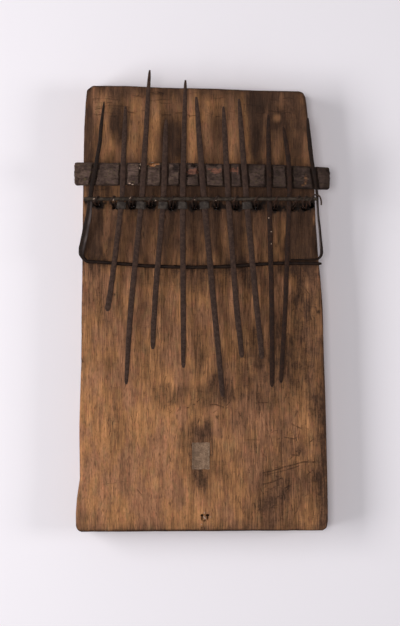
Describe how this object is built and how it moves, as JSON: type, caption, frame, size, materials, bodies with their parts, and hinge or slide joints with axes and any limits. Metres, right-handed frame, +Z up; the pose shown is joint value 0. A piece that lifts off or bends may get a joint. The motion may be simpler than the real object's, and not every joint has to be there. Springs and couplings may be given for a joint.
{
  "type": "kalimba",
  "caption": "Carved board lamellophone with forged iron tines held over a wooden backrest and an iron bridge by a wire-lashed pressure bar, with sliding sheet-iron buzzers.",
  "frame": {"origin": "centre of the board's flat underside", "axes": "+Y along the board towards the rear ends of the tines, +X across it to the right as the picture shows it, +Z up out of the playing side"},
  "size_m": [0.132, 0.238, 0.0335],
  "materials": {
    "board_wood": "hand-planed, oiled by handling, worn and stained",
    "backrest_wood": "rough, weathered and dark",
    "tine_iron": "forged, dark brown patina",
    "bar_iron": "drawn rod, grey-green patina",
    "bridge_iron": "forged, almost black patina",
    "buzzer_iron": "bent sheet, dull grey-green",
    "lashing_wire": "annealed wire, dull, rust in the turns",
    "label_paper": "aged paper, grimy at the edges"
  },
  "bodies": {
    "board": {"board": "board_wood", "backrest": "backrest_wood", "pressure_bar": "bar_iron", "lashing_wire": "lashing_wire", "front_bridge": "bridge_iron", "right_arm": "bridge_iron", "paper_label": "label_paper"},
    "tine_1": {"tine_1": "tine_iron"},
    "tongue_1": {"tongue_1": "tine_iron"},
    "tine_2": {"tine_2": "tine_iron"},
    "tongue_2": {"tongue_2": "tine_iron"},
    "tine_3": {"tine_3": "tine_iron"},
    "tongue_3": {"tongue_3": "tine_iron"},
    "tine_4": {"tine_4": "tine_iron"},
    "tongue_4": {"tongue_4": "tine_iron"},
    "tine_5": {"tine_5": "tine_iron"},
    "tongue_5": {"tongue_5": "tine_iron"},
    "tine_6": {"tine_6": "tine_iron"},
    "tongue_6": {"tongue_6": "tine_iron"},
    "tine_7": {"tine_7": "tine_iron"},
    "tongue_7": {"tongue_7": "tine_iron"},
    "tine_8": {"tine_8": "tine_iron"},
    "tongue_8": {"tongue_8": "tine_iron"},
    "tine_9": {"tine_9": "tine_iron"},
    "tongue_9": {"tongue_9": "tine_iron"},
    "buzzer_1": {"buzzer_1": "buzzer_iron"},
    "buzzer_2": {"buzzer_2": "buzzer_iron"},
    "buzzer_3": {"buzzer_3": "buzzer_iron"},
    "buzzer_4": {"buzzer_4": "buzzer_iron"},
    "buzzer_5": {"buzzer_5": "buzzer_iron"},
    "buzzer_7": {"buzzer_7": "buzzer_iron"}
  },
  "joints": [
    {"name": "tine_1_tuning", "type": "slide", "parent": "board", "child": "tine_1", "axis": [-0.1233, -0.9908, -0.0561], "range_m": [-0.003, 0.003]},
    {"name": "tongue_1_pluck", "type": "hinge", "parent": "tine_1", "child": "tongue_1", "pos_m": [-0.04602, 0.0171, 0.02581], "axis": [0.9923, -0.1235, 0], "range_deg": [-3, 3], "stiffness_Nm_per_rad": 13},
    {"name": "tine_2_tuning", "type": "slide", "parent": "board", "child": "tine_2", "axis": [-0.1033, -0.9931, -0.0562], "range_m": [-0.003, 0.003]},
    {"name": "tongue_2_pluck", "type": "hinge", "parent": "tine_2", "child": "tongue_2", "pos_m": [-0.03508, 0.0171, 0.02581], "axis": [0.9946, -0.1034, 0], "range_deg": [-3, 3], "stiffness_Nm_per_rad": 4.5},
    {"name": "tine_3_tuning", "type": "slide", "parent": "board", "child": "tine_3", "axis": [-0.0868, -0.9946, -0.0563], "range_m": [-0.003, 0.003]},
    {"name": "tongue_3_pluck", "type": "hinge", "parent": "tine_3", "child": "tongue_3", "pos_m": [-0.02325, 0.0171, 0.02581], "axis": [0.9962, -0.087, 0], "range_deg": [-3, 3], "stiffness_Nm_per_rad": 6.6},
    {"name": "tine_4_tuning", "type": "slide", "parent": "board", "child": "tine_4", "axis": [0.0056, -0.9984, -0.0565], "range_m": [-0.003, 0.003]},
    {"name": "tongue_4_pluck", "type": "hinge", "parent": "tine_4", "child": "tongue_4", "pos_m": [-0.00979, 0.0171, 0.02581], "axis": [1, 0.0056, 0], "range_deg": [-3, 3], "stiffness_Nm_per_rad": 5.3},
    {"name": "tine_5_tuning", "type": "slide", "parent": "board", "child": "tine_5", "axis": [0.0941, -0.994, -0.0563], "range_m": [-0.003, 0.003]},
    {"name": "tongue_5_pluck", "type": "hinge", "parent": "tine_5", "child": "tongue_5", "pos_m": [0.00469, 0.0171, 0.02581], "axis": [0.9955, 0.0943, 0], "range_deg": [-3, 3], "stiffness_Nm_per_rad": 4.2},
    {"name": "tine_6_tuning", "type": "slide", "parent": "board", "child": "tine_6", "axis": [0.0758, -0.9955, -0.0564], "range_m": [-0.003, 0.003]},
    {"name": "tongue_6_pluck", "type": "hinge", "parent": "tine_6", "child": "tongue_6", "pos_m": [0.0165, 0.0171, 0.02581], "axis": [0.9971, 0.0759, 0], "range_deg": [-3, 3], "stiffness_Nm_per_rad": 5.9},
    {"name": "tine_7_tuning", "type": "slide", "parent": "board", "child": "tine_7", "axis": [0.0941, -0.994, -0.0563], "range_m": [-0.003, 0.003]},
    {"name": "tongue_7_pluck", "type": "hinge", "parent": "tine_7", "child": "tongue_7", "pos_m": [0.02659, 0.0171, 0.02581], "axis": [0.9955, 0.0943, 0], "range_deg": [-3, 3], "stiffness_Nm_per_rad": 6},
    {"name": "tine_8_tuning", "type": "slide", "parent": "board", "child": "tine_8", "axis": [0.0241, -0.9981, -0.0565], "range_m": [-0.003, 0.003]},
    {"name": "tongue_8_pluck", "type": "hinge", "parent": "tine_8", "child": "tongue_8", "pos_m": [0.03559, 0.0171, 0.02581], "axis": [0.9997, 0.0241, 0], "range_deg": [-3, 3], "stiffness_Nm_per_rad": 3.9},
    {"name": "tine_9_tuning", "type": "slide", "parent": "board", "child": "tine_9", "axis": [-0.0352, -0.9978, -0.0565], "range_m": [-0.003, 0.003]},
    {"name": "tongue_9_pluck", "type": "hinge", "parent": "tine_9", "child": "tongue_9", "pos_m": [0.04353, 0.0171, 0.02581], "axis": [0.9994, -0.0353, 0], "range_deg": [-3, 3], "stiffness_Nm_per_rad": 3.8},
    {"name": "buzzer_1_slide", "type": "slide", "parent": "board", "child": "buzzer_1", "axis": [-0.1233, -0.9908, -0.0561], "range_m": [0, 0.025]},
    {"name": "buzzer_2_slide", "type": "slide", "parent": "board", "child": "buzzer_2", "axis": [-0.1033, -0.9931, -0.0562], "range_m": [0, 0.025]},
    {"name": "buzzer_3_slide", "type": "slide", "parent": "board", "child": "buzzer_3", "axis": [-0.0868, -0.9946, -0.0563], "range_m": [0, 0.025]},
    {"name": "buzzer_4_slide", "type": "slide", "parent": "board", "child": "buzzer_4", "axis": [0.0056, -0.9984, -0.0565], "range_m": [0, 0.025]},
    {"name": "buzzer_5_slide", "type": "slide", "parent": "board", "child": "buzzer_5", "axis": [0.0941, -0.994, -0.0563], "range_m": [0, 0.025]},
    {"name": "buzzer_7_slide", "type": "slide", "parent": "board", "child": "buzzer_7", "axis": [0.0941, -0.994, -0.0563], "range_m": [0, 0.025]}
  ]
}
